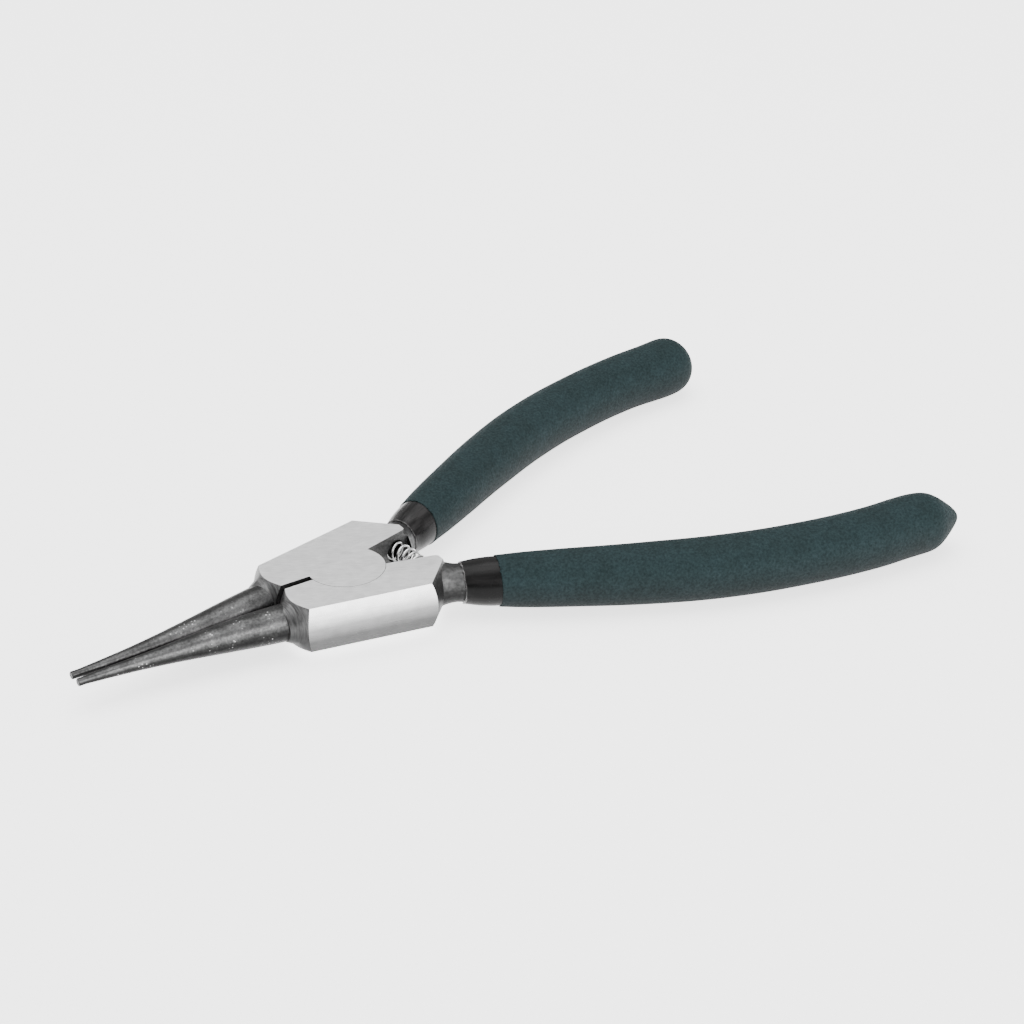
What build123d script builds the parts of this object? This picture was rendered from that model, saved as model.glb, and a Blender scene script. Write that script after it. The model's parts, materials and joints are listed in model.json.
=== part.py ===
from build123d import *
import os
from math import cos, degrees, hypot, pi, radians, sin, tan

os.makedirs("parts", exist_ok=True)

# ---------------------------------------------------------------
# Driving dimensions, mm and degrees.
# Frame: the origin is on the pivot axis, in the plane of the head's underside.
# +X runs along the tool to the handles, +Y to the far half, +Z up.
# ---------------------------------------------------------------
head_t = 9.8            # thickness of the head
head_front = 15.55      # pivot axis to the head's front edge
head_front_w = 10.08    # half width of the head at its front corner
corner_back = 1.15      # the front corner lies this far behind the front edge
head_rear_w = 15.3      # half width of the head at its rear corner
head_rear = 10.55       # pivot axis to the rear outer corner
side_bulge = 1.0        # how far the ground side face stands out at mid height
rear_bulge = 1.3        # the same for the rear face
nose_run = 17.5         # pivot axis to the inner rear corner
slot_w = 1.5            # slot between the halves in front of the lap
disc_r = 7.9            # lap disc
crotch_angle = 15.0     # crotch face from the X axis
jaw_len = 59.6          # pivot axis to the tip
tip_r = 0.8             # tip pin
tip_len = 1.6           # straight length of the tip pin
tip_off = 1.45          # tip pin axis from the middle
tip_break = 0.12        # chamfer round the end of the tip pin
jaw_root_r = 3.85       # jaw radius where it meets the head
jaw_root_off = 5.3      # shoulder axis from the middle
shoulder_slope = 1.38   # shoulder cone, rise over run
root_slope = 0.58       # the flatter cone at the foot of the shoulder
root_run = 1.4          # how far that foot reaches forward down the jaw
nose_t = 2.4            # width of the head block behind the crotch corner
rear_width = 2.1        # where the rear face's line passes the crotch corner
nose_fillet = 0.8       # rounded corner at the end of the crotch face
neck_off = 3.5          # neck axis outside the crotch corner
neck_r = 3.9            # round neck behind the head
flare_foot = 3.4        # flare, how far it starts ahead of the neck's origin
flare_waist = 0.6       # flare, the middle of its hollow, ahead of the origin
flare_end = 2.6         # flare, where it meets the round neck
flare_tail = 5.0        # flare, end of its round part
flare_fill = 0.42       # how much the middle of the hollow stands over the neck
neck_angle = 29.0       # neck axis from the X axis
tang_r = 3.4            # tang inside the grips
tang_fit = 0.3          # the tang starts this much thinner than the neck
thin_share = 0.13       # share of the grip's length over which tang and sleeve thin down
handle_run = 93.0       # along X, neck to the last centre of the grip
handle_rise = 34.5      # along Y, neck to the last centre of the grip
end_lean = 0.04         # slope of the handle line at its end
sleeve_rim_x = 19.2     # rim of the inner sleeve, on the handle's axis
grip_rim_x = 25.5       # rim of the outer grip, on the handle's axis
rim_tilt = 20.0         # both rims lean this far toward square to the handle
sleeve_rim_r = 4.15     # inner sleeve at its rim
sleeve_out_r = 5.0      # inner sleeve where the grip covers it
sleeve_wall = 1.1       # inner sleeve over the tang
grip_rim_r = 5.2        # outer grip at its rim
grip_r = 6.45           # outer grip along the palm
grip_swell = 0.37       # share of the grip's length at which it is full size
end_wall = 1.3          # sleeve past the end of the tang
drip_len = 2.2          # drip on the end of the near grip
drip_sink = 0.6         # how deep the drip starts inside the rounded end
drip_foot = 0.36        # drip radius at its foot, share of the grip's
drip_end = 0.10         # drip radius at its end, share of the grip's
rivet_r = 3.0           # pivot rivet shank
rivet_head_r = 4.0      # rivet head in its countersink
rivet_head_t = 1.0      # depth of the countersink
wire_r = 0.27           # spring wire
coil_r = 1.93           # spring, to the middle of the wire
coil_turns = 8.5        # turns of the spring
seat_x = 14.9           # spring seat along the crotch face
seat_lift = 0.9         # spring axis above mid thickness
seat_depth = 2.0        # depth of the spring seat
lap_start = 26.25       # where the crotch face leaves the lap disc, degrees
reach = 40.0            # cutting shapes run this far past the part
station_apart = 0.5     # stations of a bar are never closer than this
halvings = 40           # steps of the search for a place on the handle line

# clearances
lap_gap = 0.06          # between the two lap discs
rim_gap = 0.10          # lap disc to the recess around it, radial
pivot_gap = 0.03        # rivet to the moving half, radial
seat_gap = 0.20         # spring to its seat, radial
spring_end_gap = 0.06   # spring end to the floor of its seat

# ---------------------------------------------------------------
# Derived dimensions
# ---------------------------------------------------------------
zm = head_t / 2
half_slot = slot_w / 2
slot_end = disc_r - half_slot / 4

# crotch face line: starts on the lap disc
crotch_slope = tan(radians(crotch_angle))
start_a = radians(lap_start)
crotch_x = disc_r * cos(start_a)
crotch_y = disc_r * sin(start_a)
crotch_apex = crotch_x - crotch_y / crotch_slope
nose_y = crotch_y + (nose_run - crotch_x) * crotch_slope

# neck axis leaves the head close to its inner rear corner
neck_x = nose_run
neck_y = nose_y + neck_off
neck_dir = (cos(radians(neck_angle)), sin(radians(neck_angle)))

# side face line, front corner to rear corner
front_corner_x = corner_back - head_front
side_len = hypot(head_rear - front_corner_x, head_rear_w - head_front_w)
side_dir = ((head_rear - front_corner_x) / side_len, (head_rear_w - head_front_w) / side_len)
side_out = (-side_dir[1], side_dir[0])

# rear face line, rear corner to the inner corner
rear_end = (nose_run, nose_y + rear_width)
rear_len = hypot(rear_end[0] - head_rear, rear_end[1] - head_rear_w)
rear_dir = ((rear_end[0] - head_rear) / rear_len, (rear_end[1] - head_rear_w) / rear_len)
rear_out = (-rear_dir[1], rear_dir[0])

# handle centre line, as shares of its run and rise
stations = [(0.054, 0.081), (0.216, 0.324), (0.377, 0.557), (0.538, 0.752),
            (0.699, 0.886), (0.860, 0.970), (1.0, 1.0)]
centres = [(neck_x + handle_run * a, neck_y + handle_rise * b) for a, b in stations]

# spring: its axis is an arc square to both crotch faces
seat_y = crotch_y + (seat_x - crotch_x) * crotch_slope
spring_arc_r = hypot(seat_x - crotch_apex, seat_y)
seat_r = coil_r + wire_r + seat_gap
seat_turn = degrees((seat_depth - spring_end_gap - wire_r) / spring_arc_r)
spring_half_angle = radians(crotch_angle + seat_turn)

# shoulder cone and the foot that leads the jaw into it
shoulder_foot = -head_front - (zm - jaw_root_r) / shoulder_slope
root_start = shoulder_foot - root_run
root_end = shoulder_foot + root_run / 3
root_start_r = jaw_root_r - root_run / 3
root_end_r = root_start_r + (root_end - root_start) * root_slope

# jaw, tip to head: share of its length, then axis and radius as shares of the way to the root
jaw_back = jaw_len - tip_len
jaw_span = jaw_back + shoulder_foot
jaw_shares = [
    (0.0, 0.0, 0.0), (0.168, 0.045, 0.138), (0.34, 0.140, 0.290), (0.491, 0.245, 0.465),
    (0.736, 0.465, 0.775), (0.971, 0.770, 0.965), (1.058, 0.850, 1.0),
]
jaw_rows = [
    (
        -jaw_back + along * jaw_span,
        tip_off + off * (jaw_root_off - tip_off),
        tip_r + swell * (jaw_root_r - tip_r),
    )
    for along, off, swell in jaw_shares
]


def share_at_x(line, x):
    """The share of the line's length at which it passes x."""
    lo, hi = 0.0, 1.0
    for _ in range(halvings):
        mid = (lo + hi) / 2
        if (line @ mid).X < x:
            lo = mid
        else:
            hi = mid
    return (lo + hi) / 2


with BuildLine():
    handle_line = Spline(
        *[Vector(x, y, zm) for x, y in [(neck_x, neck_y)] + centres],
        tangents=[Vector(*neck_dir, 0), Vector(1, end_lean, 0)],
    )

end_x = neck_x + handle_run

# stations down the handle that every bar of it shares, as distances along X
grip_run = end_x - grip_rim_x
station_xs = (
    [neck_x, neck_x + 2.5, sleeve_rim_x + 3.5, grip_rim_x]
    + [grip_rim_x + grip_run * share for share in (0.05, 0.13, 0.24, 0.35, 0.46, 0.57, 0.68, 0.79, 0.90)]
)


def radius_at(x, rows):
    """Radius at x, straight between the rows of (x, radius)."""
    if x <= rows[0][0]:
        return rows[0][1]
    for (x0, r0), (x1, r1) in zip(rows, rows[1:]):
        if x <= x1:
            return r0 + (r1 - r0) * (x - x0) / (x1 - x0)
    return rows[-1][1]


def round_bar(start_x, stop_x, rows):
    """A round bar down the handle line, in short cones between the stations."""
    between = [x for x in station_xs if start_x + station_apart < x < stop_x - station_apart]
    xs = [start_x] + between + [stop_x]
    with BuildPart() as bar:
        for x in xs:
            share = share_at_x(handle_line, x)
            with BuildSketch(Plane(origin=handle_line @ share, z_dir=handle_line % share)):
                Circle(radius_at(x, rows))
        loft(ruled=True)
    return bar.part


tang_rows = [(grip_rim_x, neck_r - tang_fit), (grip_rim_x + grip_run * thin_share, tang_r)]
tang_bar = round_bar(neck_x, end_x - end_wall, tang_rows)

# flare from the head down to the round neck, flush with the head's faces
flare_axis = Axis((neck_x, neck_y, zm), (*neck_dir, 0))
with BuildPart() as flare_part:
    with BuildSketch(Plane(origin=(neck_x, neck_y, zm), x_dir=(*neck_dir, 0), z_dir=(0, 0, 1))):
        with BuildLine():
            Polyline(
                (flare_end, neck_r),
                (flare_tail, neck_r),
                (flare_tail, 0),
                (-flare_foot, 0),
                (-flare_foot, head_t / 2 + flare_fill),
                (-flare_end, head_t / 2 + flare_fill),
            )
            ThreePointArc(
                (-flare_end, head_t / 2 + flare_fill),
                (-flare_waist, neck_r + flare_fill),
                (flare_end, neck_r),
            )
        make_face()
    revolve(axis=flare_axis, revolution_arc=360)
    with Locations((neck_x, neck_y, zm)):
        Box(reach, reach, head_t, mode=Mode.INTERSECT)
    with BuildSketch():
        Polygon(
            (crotch_x - disc_r, crotch_y - disc_r * crotch_slope),
            (nose_run + nose_fillet, nose_y + nose_fillet * crotch_slope),
            (nose_run + nose_fillet, -reach),
            (crotch_x - disc_r, -reach),
            align=None,
        )
    extrude(amount=head_t, mode=Mode.SUBTRACT)
neck_flare = flare_part.part


def inside_of_face(corner, direction, outward, length, bulge):
    """All that lies inside a ground face through the corner, convex in height."""
    face_plane = Plane(
        origin=(corner[0] - reach * direction[0], corner[1] - reach * direction[1], 0),
        x_dir=(*outward, 0),
        z_dir=(*direction, 0),
    )
    with BuildPart() as inside:
        with BuildSketch(face_plane):
            with BuildLine():
                Polyline((0, 0), (-2 * reach, 0), (-2 * reach, head_t), (0, head_t))
                ThreePointArc((0, head_t), (bulge, zm), (0, 0))
            make_face()
        extrude(amount=length + 2 * reach)
    return inside.part


inside_side = inside_of_face((front_corner_x, head_front_w), side_dir, side_out, side_len, side_bulge)
inside_rear = inside_of_face((head_rear, head_rear_w), rear_dir, rear_out, rear_len, rear_bulge)


def forged_half():
    """The far half: head block, lap disc in the upper layer, jaw, neck and tang."""
    with BuildPart() as half:
        # head block from above, larger than the ground faces outside
        with BuildSketch():
            Polygon(
                (-slot_end, half_slot),
                (shoulder_foot - root_run, half_slot),
                (shoulder_foot - root_run, head_rear_w),
                (head_rear, head_rear_w + disc_r),
                (nose_run + nose_fillet, nose_y + nose_t + nose_fillet),
                (nose_run, nose_y + nose_t),
                (nose_run, nose_y),
                (crotch_x, crotch_y),
                align=None,
            )
        extrude(amount=head_t)
        # ground side and rear faces
        add(inside_side, mode=Mode.INTERSECT)
        add(inside_rear, mode=Mode.INTERSECT)
        # front shoulder, a cone around the jaw
        with BuildSketch(Plane.XZ.offset(-jaw_root_off)):
            Polygon(
                (shoulder_foot, zm),
                (shoulder_foot, zm + jaw_root_r),
                (reach, zm + jaw_root_r + (reach - shoulder_foot) * shoulder_slope),
                (reach, zm),
                align=None,
            )
        revolve(
            axis=Axis((0, jaw_root_off, zm), (1, 0, 0)),
            revolution_arc=360,
            mode=Mode.INTERSECT,
        )
        # rounded inner corner at the end of the crotch face
        corner = half.edges().filter_by(Axis.Z).sort_by_distance((nose_run, nose_y, zm))[0]
        fillet(corner, radius=nose_fillet)
        add(neck_flare)
        add(tang_bar)
        # foot of the shoulder
        with Locations(Location((root_start, jaw_root_off, zm), (0, 90, 0))):
            Cone(
                root_start_r, root_end_r, root_end - root_start,
                align=(Align.CENTER, Align.CENTER, Align.MIN),
            )
        # jaw, round and slightly hollow along its length
        for at, off, radius in jaw_rows:
            with BuildSketch(Plane(origin=(at, off, zm), z_dir=(1, 0, 0))):
                Circle(radius)
        loft()
        with Locations(Location((-jaw_back, tip_off, zm), (0, -90, 0))):
            Cylinder(tip_r, tip_len, align=(Align.CENTER, Align.CENTER, Align.MIN))
        tip_edge = half.edges().filter_by(GeomType.CIRCLE).sort_by(Axis.X)[0]
        chamfer(tip_edge, length=tip_break)
        # lap: recess below, disc above
        with Locations((0, 0, 0)):
            Cylinder(
                disc_r + rim_gap, zm + lap_gap / 2,
                align=(Align.CENTER, Align.CENTER, Align.MIN), mode=Mode.SUBTRACT,
            )
        with Locations((0, 0, zm + lap_gap / 2)):
            Cylinder(disc_r, zm - lap_gap / 2, align=(Align.CENTER, Align.CENTER, Align.MIN))
    return half.part


half_body = forged_half()


def over(shape):
    """The shape turned half a turn about the tool's long middle axis."""
    return shape.rotate(Axis((0, 0, zm), (1, 0, 0)), 180)


def seat_plane(side):
    """Plane in the crotch face at the spring seat, facing into the half."""
    a = radians(crotch_angle)
    return Plane(
        origin=(seat_x, side * seat_y, zm + seat_lift),
        x_dir=(0, 0, 1),
        z_dir=(-sin(a), side * cos(a), 0),
    )


# ---------------------------------------------------------------
# Far forged half: turns on the rivet
# ---------------------------------------------------------------
with BuildPart() as far_half:
    add(half_body)
    with Locations((0, 0, 0)):
        Cylinder(rivet_r + pivot_gap, head_t * 3, mode=Mode.SUBTRACT)
    with Locations((0, 0, head_t - rivet_head_t - pivot_gap)):
        Cone(
            rivet_r + pivot_gap, rivet_head_r + 2 * pivot_gap, rivet_head_t + pivot_gap,
            align=(Align.CENTER, Align.CENTER, Align.MIN), mode=Mode.SUBTRACT,
        )
    with BuildSketch(seat_plane(1)):
        Circle(seat_r)
    extrude(amount=seat_depth, mode=Mode.SUBTRACT)
    with BuildSketch(seat_plane(1)):
        Circle(seat_r)
    extrude(amount=-seat_depth, mode=Mode.SUBTRACT)
far_half.part.label = "far_half"

# ---------------------------------------------------------------
# Near forged half: the same forging turned over; holds the rivet
# ---------------------------------------------------------------
with BuildPart() as near_half:
    add(over(half_body))
    with Locations((0, 0, 0)):
        Cylinder(rivet_r, head_t * 3, mode=Mode.SUBTRACT)
    with Locations((0, 0, 0)):
        Cone(
            rivet_head_r, rivet_r, rivet_head_t,
            align=(Align.CENTER, Align.CENTER, Align.MIN), mode=Mode.SUBTRACT,
        )
    with BuildSketch(seat_plane(-1)):
        Circle(seat_r)
    extrude(amount=seat_depth, mode=Mode.SUBTRACT)
    with BuildSketch(seat_plane(-1)):
        Circle(seat_r)
    extrude(amount=-seat_depth, mode=Mode.SUBTRACT)
near_half.part.label = "near_half"

# ---------------------------------------------------------------
# Pivot rivet, both heads flush in their countersinks
# ---------------------------------------------------------------
with BuildPart() as pivot_rivet:
    with BuildSketch(Plane.XZ):
        Polygon(
            (0, 0), (rivet_head_r, 0), (rivet_r, rivet_head_t),
            (rivet_r, head_t - rivet_head_t), (rivet_head_r, head_t), (0, head_t),
            align=None,
        )
    revolve(axis=Axis.Z, revolution_arc=360)
pivot_rivet.part.label = "pivot_rivet"

# ---------------------------------------------------------------
# Return spring, a coil whose axis bows between the two seats
# ---------------------------------------------------------------
points_per_turn = 12
count = int(coil_turns * points_per_turn) + 1


def coil_point(i):
    share = i / (count - 1)
    swing = -spring_half_angle + 2 * spring_half_angle * share
    turn = 2 * pi * coil_turns * share
    reach = spring_arc_r + coil_r * cos(turn)
    return Vector(
        crotch_apex + reach * cos(swing),
        reach * sin(swing),
        zm + seat_lift + coil_r * sin(turn),
    )


with BuildPart() as return_spring:
    with BuildLine() as wire_line:
        wire_curve = Spline(*[coil_point(i) for i in range(count)])
    with BuildSketch(Plane(origin=wire_curve @ 0, z_dir=wire_curve % 0)):
        Circle(wire_r)
    sweep(path=wire_curve, is_frenet=False)
return_spring.part.label = "return_spring"

# ---------------------------------------------------------------
# Inner sleeves, dipped over neck and tang
# ---------------------------------------------------------------
sleeve_under = tang_r + sleeve_wall
rim_cut = (Align.MAX, Align.CENTER, Align.CENTER)


def rim_place(x):
    """Where a rim crosses the handle's axis, leaning with it."""
    on_axis = handle_line @ share_at_x(handle_line, x)
    return Location((on_axis.X, on_axis.Y, zm), (0, 0, rim_tilt))


sleeve_rows = [
    (sleeve_rim_x, sleeve_rim_r), (grip_rim_x, sleeve_out_r),
    (grip_rim_x + grip_run * thin_share, sleeve_under),
]
sleeve_bar = round_bar(neck_x, end_x, sleeve_rows)

with BuildPart() as far_sleeve:
    add(sleeve_bar)
    with Locations(rim_place(sleeve_rim_x)):
        Box(reach, reach, reach, align=rim_cut, mode=Mode.SUBTRACT)
    add(tang_bar, mode=Mode.SUBTRACT)
    add(neck_flare, mode=Mode.SUBTRACT)
far_sleeve.part.label = "far_sleeve"

with BuildPart() as near_sleeve:
    add(over(far_sleeve.part))
near_sleeve.part.label = "near_sleeve"

# ---------------------------------------------------------------
# Outer grips, dipped over the sleeves
# ---------------------------------------------------------------
grip_swelling = [(0.0, 0.0), (0.05, 0.30), (0.14, 0.58), (0.26, 0.80), (grip_swell, 1.0)]
grip_rows = [
    (grip_rim_x + grip_run * along, grip_rim_r + (grip_r - grip_rim_r) * swell)
    for along, swell in grip_swelling
]
grip_bar = round_bar(sleeve_rim_x, end_x, grip_rows)
end_point = handle_line @ 1.0

with BuildPart() as far_grip:
    add(grip_bar)
    with Locations(end_point):
        Sphere(grip_r)
    with Locations(rim_place(grip_rim_x)):
        Box(reach, reach, reach, align=rim_cut, mode=Mode.SUBTRACT)
    add(sleeve_bar, mode=Mode.SUBTRACT)
far_grip.part.label = "far_grip"

with BuildPart() as near_grip:
    add(over(far_grip.part))
    # the drip left by dipping, on the rounded end
    with Locations(Location((end_point.X + grip_r - drip_sink, -end_point.Y, zm), (0, 90, 0))):
        Cone(
            grip_r * drip_foot, grip_r * drip_end, drip_len,
            align=(Align.CENTER, Align.CENTER, Align.MIN),
        )
near_grip.part.label = "near_grip"

# ---------------------------------------------------------------
# Export
# ---------------------------------------------------------------
export_step(near_half.part, "parts/near_half.step")
export_step(far_half.part, "parts/far_half.step")
export_step(pivot_rivet.part, "parts/pivot_rivet.step")
export_step(return_spring.part, "parts/return_spring.step")
export_step(near_sleeve.part, "parts/near_sleeve.step")
export_step(far_sleeve.part, "parts/far_sleeve.step")
export_step(near_grip.part, "parts/near_grip.step")
export_step(far_grip.part, "parts/far_grip.step")
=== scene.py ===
# %% [markdown]
# # Circlip pliers with dipped grips
# The tool is two forgings riveted together, a coil spring in the crotch between them, and two layers of
# dipped vinyl on each handle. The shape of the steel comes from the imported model. This lesson gives the
# steel its broken edges and its finishes, and models the vinyl and the spring by hand.

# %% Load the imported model
import json
from math import atan2, cos, hypot, pi, radians, sin, tan

import bmesh
import bpy
from mathutils import Matrix, Vector

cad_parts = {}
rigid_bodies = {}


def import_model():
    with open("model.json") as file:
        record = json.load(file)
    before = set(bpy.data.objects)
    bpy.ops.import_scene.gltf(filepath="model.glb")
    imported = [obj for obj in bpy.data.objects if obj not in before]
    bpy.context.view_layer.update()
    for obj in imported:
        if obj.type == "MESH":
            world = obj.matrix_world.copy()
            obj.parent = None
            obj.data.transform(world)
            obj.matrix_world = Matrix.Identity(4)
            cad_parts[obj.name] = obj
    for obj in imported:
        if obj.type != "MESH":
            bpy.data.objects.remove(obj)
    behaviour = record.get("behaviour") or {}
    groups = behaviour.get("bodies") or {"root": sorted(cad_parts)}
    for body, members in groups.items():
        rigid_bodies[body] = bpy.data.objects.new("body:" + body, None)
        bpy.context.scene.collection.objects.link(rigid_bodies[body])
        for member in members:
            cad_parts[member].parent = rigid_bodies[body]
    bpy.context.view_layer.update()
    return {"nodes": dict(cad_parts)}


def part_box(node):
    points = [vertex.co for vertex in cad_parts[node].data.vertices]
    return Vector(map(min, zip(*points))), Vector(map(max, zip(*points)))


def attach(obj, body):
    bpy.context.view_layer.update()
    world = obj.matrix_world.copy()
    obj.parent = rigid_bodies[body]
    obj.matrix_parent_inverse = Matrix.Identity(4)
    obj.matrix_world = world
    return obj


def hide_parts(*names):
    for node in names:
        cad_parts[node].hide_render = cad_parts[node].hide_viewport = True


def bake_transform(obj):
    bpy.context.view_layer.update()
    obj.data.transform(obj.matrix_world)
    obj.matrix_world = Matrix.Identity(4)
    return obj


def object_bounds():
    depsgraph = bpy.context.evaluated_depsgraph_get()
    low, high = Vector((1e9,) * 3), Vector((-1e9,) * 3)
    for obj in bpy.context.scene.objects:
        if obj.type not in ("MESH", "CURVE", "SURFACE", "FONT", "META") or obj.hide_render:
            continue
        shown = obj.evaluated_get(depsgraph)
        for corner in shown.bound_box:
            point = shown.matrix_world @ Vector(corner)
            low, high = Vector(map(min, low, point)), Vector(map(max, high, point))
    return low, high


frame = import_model()
MM = 0.001

# %% [markdown]
# ## Places taken from the model
# Every piece sits where the model says. The head's thickness and the size and end of the grips are read from
# the boxes of their nodes, so a new pack moves the pieces with it. A rim is a point on the handle's axis,
# and a box doesn't give it, so both rims are written here. The near half was dipped a little less deep, and
# its rims start a little further back.

# %% Places from the boxes of the nodes
HEAD_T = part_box("far_half")[1].z
MID_Z = HEAD_T / 2
grip_low, grip_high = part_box("far_grip")
GRIP_R = (grip_high.z - grip_low.z) / 2
END_X = grip_high.x - GRIP_R
END_Y = grip_high.y - GRIP_R
SLEEVE_RIM = Vector((19.2, 10.75, 0)) * MM
GRIP_RIM = Vector((25.5, 14.2, 0)) * MM
RIM_SHIFT = {1: 0, -1: 0.9 * MM}
print("head", round(HEAD_T / MM, 2), "grip radius", round(GRIP_R / MM, 2), "end", round(END_X / MM, 2))

# %% [markdown]
# ## Camera
# A hand tool is best shown from far off with a long lens, so that near and far handles keep their true
# proportions. The camera stands a little above the near side, turned about a third of a right angle towards
# the tips, and shows the top of the head, the near side face and the whole length of both grips. It could
# be aimed with a constraint. A matrix built from three directions is used instead, because it can also hold
# a slight roll.

# %% Camera
AZIMUTH = radians(33.32)
ELEVATION = radians(29.21)
ROLL = radians(-0.55)
AIM = Vector((44.2, 7.1, 4.9)) * MM
DISTANCE = 575.1 * MM
LENS = 96.96

ahead = Vector((sin(AZIMUTH) * cos(ELEVATION), cos(AZIMUTH) * cos(ELEVATION), -sin(ELEVATION)))
right = Vector((cos(AZIMUTH), -sin(AZIMUTH), 0))
up = right.cross(ahead)
right_rolled = right * cos(ROLL) + up * sin(ROLL)
up_rolled = up * cos(ROLL) - right * sin(ROLL)
turn = Matrix((right_rolled, up_rolled, -ahead)).transposed().to_4x4()
camera_data = bpy.data.cameras.new("camera")
camera_data.lens = LENS
camera_data.clip_start = 10 * MM
camera = bpy.data.objects.new("camera", camera_data)
bpy.context.scene.collection.objects.link(camera)
camera.matrix_world = Matrix.Translation(AIM - ahead * DISTANCE) @ turn
bpy.context.scene.camera = camera
print("camera at, mm", [round(c / MM, 1) for c in camera.matrix_world.translation])

# %% [markdown]
# ## Helpers for working by hand
# Operators act on what is selected and active, so each step starts by choosing exactly one object. A
# finished piece is measured against the box of the node that it stands for.

# %% Choosing, applying and measuring
# points closer than this, in metres, are welded into one, and a ring that closes in a pole is this small
WELD = 1e-6


def choose(piece):
    """Make one object the only selected one and the active one."""
    for other in bpy.context.scene.objects:
        other.select_set(False)
    piece.select_set(True)
    bpy.context.view_layer.objects.active = piece


def apply_modifiers(piece):
    """Apply every modifier, in order."""
    choose(piece)
    for modifier in list(piece.modifiers):
        bpy.ops.object.modifier_apply(modifier=modifier.name)


def smooth_out(piece, levels=2):
    """Round a coarse cage with an applied Subdivision Surface."""
    smooth = piece.modifiers.new("smooth", "SUBSURF")
    smooth.levels = levels
    smooth.render_levels = levels
    apply_modifiers(piece)


def measure(piece, node):
    """Print a piece's faces and how far it stands outside its node's box."""
    low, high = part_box(node)
    proud = 0
    for point in piece.data.vertices:
        for axis in range(3):
            proud = max(proud, low[axis] - point.co[axis], point.co[axis] - high[axis])
    print(piece.name, len(piece.data.polygons), "faces,", round(proud / MM, 2), "mm outside its node")


# %% [markdown]
# ## The handle's centre line
# Both layers of vinyl follow one gentle curve: straight out of the head, then bending until it runs almost
# level. A grip could be modelled along the curve ring by ring, but then every ring would need its own
# turn. So the curve is drawn once, as a Bezier curve with automatic handles, and the straight pieces are
# bent along it afterwards. The near curve is the far one mirrored across the middle. The curve runs past
# the grip's end, so that the rounded end has something to follow too.

# %% Handle curve
NECK = Vector((17.5, 9.79, 0)) * MM
NECK_ANGLE = radians(29)
NECK_REACH = 2 * MM
RUN_OUT = 15 * MM
RUN_OUT_RISE = 3.6 * MM
# shares of the run along X and of the rise along Y, from the neck to the last centre of the grip
LINE_SHARES = [
    (0.054, 0.081), (0.216, 0.324), (0.377, 0.557), (0.538, 0.752), (0.699, 0.886), (0.860, 0.970), (1.0, 1.0)
]


def link_curve(name, count):
    """A new 3-D curve object with one Bezier spline of so many knots."""
    line = bpy.data.curves.new(name, "CURVE")
    line.dimensions = "3D"
    spline = line.splines.new("BEZIER")
    spline.bezier_points.add(count - 1)
    curve = bpy.data.objects.new(name, line)
    bpy.context.scene.collection.objects.link(curve)
    return curve, spline.bezier_points


def handle_curve(side):
    """Centre line of the far (+1) or near (-1) handle, starting at the neck."""
    run = END_X - NECK.x
    rise = END_Y - NECK.y
    points = [Vector((NECK.x, NECK.y))]
    points += [Vector((NECK.x + run * a, NECK.y + rise * b)) for a, b in LINE_SHARES]
    points.append(Vector((END_X + RUN_OUT, END_Y + RUN_OUT_RISE)))
    curve, knots = link_curve(f"handle_line_{side}", len(points))
    curve.data.resolution_u = 24
    for knot, point in zip(knots, points):
        knot.co = (point.x, side * point.y, MID_Z)
        knot.handle_left_type = "AUTO"
        knot.handle_right_type = "AUTO"
    first = knots[0]
    first.handle_right_type = "FREE"
    first.handle_left_type = "FREE"
    way = Vector((cos(NECK_ANGLE), side * sin(NECK_ANGLE), 0))
    first.handle_right = first.co + way * NECK_REACH
    first.handle_left = first.co - way * NECK_REACH
    return curve


handle_lines = {1: handle_curve(1), -1: handle_curve(-1)}
# length along the curve from the neck to the last centre of the grip
LENGTH_TO_END = handle_lines[1].data.splines[0].calc_length() - RUN_OUT
print("handle line to the end centre, mm", round(LENGTH_TO_END / MM, 1))

# %% [markdown]
# ## Round bars drawn out ring by ring
# A dipped layer is round all along before it is bent. It could be a revolved profile. Here it starts as a
# circle, and each step extrudes the ring a little further along X and scales it to the next radius, as one
# would by hand, because a ring can then be moved without redrawing the rest. The last ring closes in a
# pole, which is welded to one point. A Curve modifier bends the bar, and Bisect cuts its rim.

# %% Drawing out, bending and cutting a bar
RING_SIDES = 40
RIM_TILT = radians(20)
LIP = 0.16 * MM


def drawn_bar(name, rows):
    """A closed bar along +X through rows of (x, radius); a radius of 0 closes it in a pole."""
    x, radius = rows[0]
    bpy.ops.object.select_all(action="DESELECT")
    bpy.ops.mesh.primitive_circle_add(
        vertices=RING_SIDES, radius=radius, fill_type="NGON", location=(0, 0, 0), rotation=(0, pi / 2, 0)
    )
    piece = bpy.context.object
    piece.name = name
    piece.data.name = name
    bpy.ops.object.transform_apply(location=True, rotation=True, scale=True)
    bpy.ops.object.mode_set(mode="EDIT")
    bpy.ops.mesh.select_all(action="SELECT")
    bpy.ops.transform.translate(value=(x, 0, 0))
    for next_x, next_r in rows[1:]:
        next_r = max(next_r, WELD)
        size = next_r / radius
        bpy.ops.mesh.extrude_region_move(TRANSFORM_OT_translate={"value": (next_x - x, 0, 0)})
        bpy.ops.transform.resize(value=(1, size, size), center_override=(next_x, 0, 0))
        radius = next_r
        x = next_x
    bpy.ops.mesh.select_all(action="SELECT")
    bpy.ops.mesh.remove_doubles(threshold=WELD)
    bpy.ops.mesh.normals_make_consistent(inside=False)
    bpy.ops.object.mode_set(mode="OBJECT")
    return piece


def bend_along(piece, curve):
    """Bend a piece that lies along X so that it follows the curve."""
    bender = piece.modifiers.new("bend", "CURVE")
    bender.object = curve
    bender.deform_axis = "POS_X"
    apply_modifiers(piece)


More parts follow.
